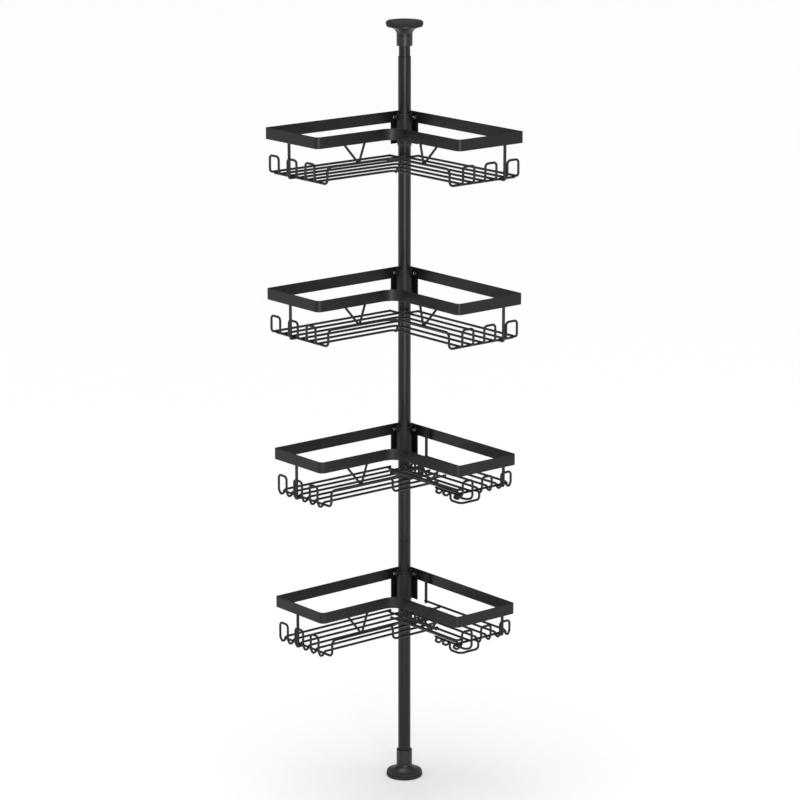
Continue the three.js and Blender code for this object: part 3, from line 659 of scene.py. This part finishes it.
# The angle plate behind the pole and the sleeve that turns on the clip.
def bracketSurfaces():
    face = poleToWall - rail["thick"] - bracket["gap"]
    end, thick = bracket["flange"] - face, bracket["thick"]
    corners = [(-face, -end, 0), (-face, face, 0), (end, face, 0)]
    route = roundedRoute(corners, [0, bracket["bend"], 0], 6, False, 1)
    travel = travelOf(route, False)
    inward = np.stack([travel[:, 1], -travel[:, 0], 0 * travel[:, 0]], axis=1)
    up = np.broadcast_to([0.0, 0.0, 1.0], inward.shape)
    bottom, top = bracket["bottom"], bracket["top"]
    section = roundedSection([(0, bottom), (thick, bottom), (thick, top), (0, top)], bracket["edge"], 3, 0.3)
    return [carried(section, route, inward, up, False), *tubeOf(sleeve, 72)]


clip = {"inner": 12.8, "outer": 14.1, "lip": 15.1, "lipHeight": 2.6, "top": -2.4, "bottom": -66, "seam": 0.3,
        "taper": 0.5, "taperHeight": 4, "edges": [0.3, 0.3, 1.0, 0.2, 0.5, 0.6, 0.3]}


# The split clip that grips the pole: tapered at its foot, with a lip at its top.
def clipSection():
    inner, outer, lip = clip["inner"], clip["outer"], clip["lip"]
    bottom, top, lipFoot = clip["bottom"], clip["top"], clip["top"] - clip["lipHeight"]
    corners = [(inner, bottom), (outer - clip["taper"], bottom), (outer, bottom + clip["taperHeight"]),
               (outer, lipFoot), (lip, lipFoot), (lip, top), (inner, top)]
    return roundedSection(corners, clip["edges"], 3, 0.15)


screw = {"head": 4, "thick": 2, "dome": 0.82, "shank": 1.5, "seat": 0.3, "buried": -1.9, "tip": 0.4,
         "slot": 0.62, "slotEdge": 0.18, "reach": 2.3, "reachEdge": 0.4, "depth": 1.1,
         "along": 12, "z": -11, "sides": 48}


# A pan head with a cross recess over a shank: height(r, a) = thick * sqrt(1 - (dome * r / head) ** 2) less
# depth * step(slot - min(|x|, |y|)) * step(reach - r), both steps softened, and r from centre to rim.
def screwSurface(rightWall):
    head, reach, around = screw["head"], screw["reach"], screw["sides"]
    # One set of rings covers the recess and a little more, the other goes on from there to the rim.
    rings = np.concatenate([np.linspace(0.02, reach * 1.15, 13), np.linspace(reach * 1.25, head, 7)])
    a = np.arange(around) * 2 * np.pi / around
    r = rings[:, None]
    x, y = r * np.cos(a), r * np.sin(a)
    dome = screw["thick"] * np.sqrt(np.maximum(1 - (screw["dome"] * r / head) ** 2, 0)) + 0 * x
    near = np.clip((screw["slot"] - np.minimum(np.abs(x), np.abs(y))) / screw["slotEdge"] + 0.5, 0, 1)
    within = np.clip((reach - r) / screw["reachEdge"] + 0.5, 0, 1)
    face = np.stack([x, y, dome - screw["depth"] * near * within], axis=-1)
    seat, buried, shank = screw["seat"], screw["buried"], screw["shank"]
    skirt = np.array([(head, seat), (shank, seat), (shank, buried), (screw["tip"], buried)])
    below = np.stack([skirt[:, :1] * np.cos(a), skirt[:, :1] * np.sin(a), skirt[:, 1:] + 0 * a], axis=-1)
    grid = np.concatenate([face, below])
    index = np.arange(len(grid) * around).reshape(len(grid), around)
    beside = np.roll(index, -1, axis=1)
    quads = np.stack([index[:-1], index[1:], beside[1:], beside[:-1]], axis=-1).reshape(-1, 4)
    caps = [index[:1], index[-1:, ::-1]]
    inner = poleToWall - rail["thick"] - bracket["gap"] - bracket["thick"]
    u, v, w = grid[..., 0], grid[..., 1], grid[..., 2]
    if rightWall:
        points = np.stack([screw["along"] + u, inner - w, screw["z"] + v], axis=-1)
    else:
        points = np.stack([-inner + w, -screw["along"] + u, screw["z"] + v], axis=-1)
    return points.reshape(-1, 3), [quads, *caps]


for tier, basket in tiers.items():
    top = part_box(f"{tier}_band_rail")[1][2] / metresPerMm
    holder, swing = f"{tier}_clip", f"{tier}_basket"
    upper = basket is basketA

    def put(name, surfaces, nodes, material=powderCoat, body=swing):
        raised = [lifted(surface, top) for surface in surfaces]
        addPiece(f"{tier}{name}", raised, material, body, [f"{tier}_{node}" for node in nodes])

    put("Rail", [railSurface(basket)], ["band_rail"])
    leftPost = endPost(basket, onLeft, basket["leftPost"], floor["z"])
    rightPost = endPost(basket, onRight, basket["rightPost"], floor["z"] if upper else tray["z"])
    if upper:
        put("Floor", [*upperFloor(basket), leftPost, rightPost], ["floor_wires", "left_hooks", "right_hooks"])
    else:
        put("Floor", [*lowFloor(basket), leftPost], ["floor_wires", "left_hooks"])
        put("Tray", [*raisedTray(basket), rightPost], ["right_tray", "right_hooks"])
    put("Guard", guardWire(basket, upper), ["guard_rail"])
    if not upper:
        put("SlotBars", slotBars(), ["slot_rack"])
        put("FrontHooks", trayHooks(basket), ["front_hooks"])
    put("Bracket", bracketSurfaces(), ["corner_bracket"])
    put("ScrewRight", [screwSurface(True)], ["screw_right"], zincPlate, swing)
    put("ScrewLeft", [screwSurface(False)], ["screw_left"], zincPlate, swing)
    # The clip's halves meet on the line square to the corner's diagonal, with a thin seam between them.
    seam = math.degrees(clip["seam"] / clip["inner"]) / 2
    for half, start in (("Front", -135 + seam), ("Back", 45 + seam)):
        surface = turned(clipSection(), 48, start, 180 - 2 * seam)
        put(f"Clip{half}", [surface], [f"clip_{half.lower()}"], mouldedPlastic, holder)
    print(tier, "made, rail top at", round(top, 1), "mm")


# The floor, the lights and the camera, in metres and degrees.

studio = {"floorSize": 120, "floorColour": "#fbfbfa", "floorRoughness": 0.9, "floorSpecular": 0.1,
          "world": 0.32}
overhead = {"place": (0.6, -1.0, 5.0), "energy": 2.3, "angle": 50}
softbox = {"turn": 0.13, "distance": 4.2, "height": 0.95, "aim": 0.7, "energy": 60, "width": 1.6, "tall": 1.9}
view = {"azimuth": 50.449, "elevation": 14.007, "distance": 6.316, "lens": 144.71, "sensor": 36, "far": 200,
        "targetZ": 0.7808, "side": -0.0087}

half = studio["floorSize"] / 2
floorMesh = bpy.data.meshes.new("studioFloor")
floorCorners = [(-half, -half, 0), (half, -half, 0), (half, half, 0), (-half, half, 0)]
floorMesh.from_pydata(floorCorners, [], [(0, 1, 2, 3)])
floorPaint = bpy.data.materials.new("paleMattePaint")
floorPaint.use_nodes = True
floorShader = floorPaint.node_tree.nodes["Principled BSDF"]
floorShader.inputs["Base Color"].default_value = linearOf(studio["floorColour"])
floorShader.inputs["Roughness"].default_value = studio["floorRoughness"]
floorShader.inputs["Specular IOR Level"].default_value = studio["floorSpecular"]
floorMesh.materials.append(floorPaint)
floorObject = bpy.data.objects.new("studioFloor", floorMesh)
scene.collection.objects.link(floorObject)

world = bpy.data.worlds.new("paleStudio")
world.use_nodes = True
background = world.node_tree.nodes["Background"]
background.inputs["Color"].default_value = (1, 1, 1, 1)
background.inputs["Strength"].default_value = studio["world"]
scene.world = world

azimuth, elevation = math.radians(view["azimuth"]), math.radians(view["elevation"])
outward = math.cos(elevation)
back = Vector((math.sin(azimuth) * outward, -math.cos(azimuth) * outward, math.sin(elevation)))
side = Vector((math.cos(azimuth), math.sin(azimuth), 0))
target = Vector((0, 0, view["targetZ"])) + side * view["side"]


def addLight(name, kind, place, aim, settings):
    data = bpy.data.lights.new(name, kind)
    for key, value in settings.items():
        setattr(data, key, value)
    light = bpy.data.objects.new(name, data)
    light.location = place
    light.rotation_mode = "QUATERNION"
    light.rotation_quaternion = (Vector(place) - Vector(aim)).to_track_quat("Z", "Y")
    scene.collection.objects.link(light)


addLight("overhead", "SUN", overhead["place"], (0, 0, 0),
         {"energy": overhead["energy"], "angle": math.radians(overhead["angle"])})
# A tall softbox a little to the right of the camera gives the pole its bright stripe.
turnedAzimuth = azimuth + softbox["turn"]
front = Vector((math.sin(turnedAzimuth), -math.cos(turnedAzimuth), 0))
softboxPlace = front * softbox["distance"] + Vector((0, 0, softbox["height"]))
softboxShape = {"shape": "RECTANGLE", "size": softbox["width"], "size_y": softbox["tall"]}
addLight("tallSoftbox", "AREA", softboxPlace, (0, 0, softbox["aim"]),
         {"energy": softbox["energy"], **softboxShape})

camera = bpy.data.cameras.new("camera")
camera.lens = view["lens"]
camera.sensor_width = view["sensor"]
camera.clip_end = view["far"]
cameraObject = bpy.data.objects.new("camera", camera)
cameraObject.location = target + back * view["distance"]
cameraObject.rotation_mode = "QUATERNION"
cameraObject.rotation_quaternion = back.to_track_quat("Z", "Y")
scene.collection.objects.link(cameraObject)
scene.camera = cameraObject
scene.view_settings.view_transform = "Standard"
print("stage, light and camera made")
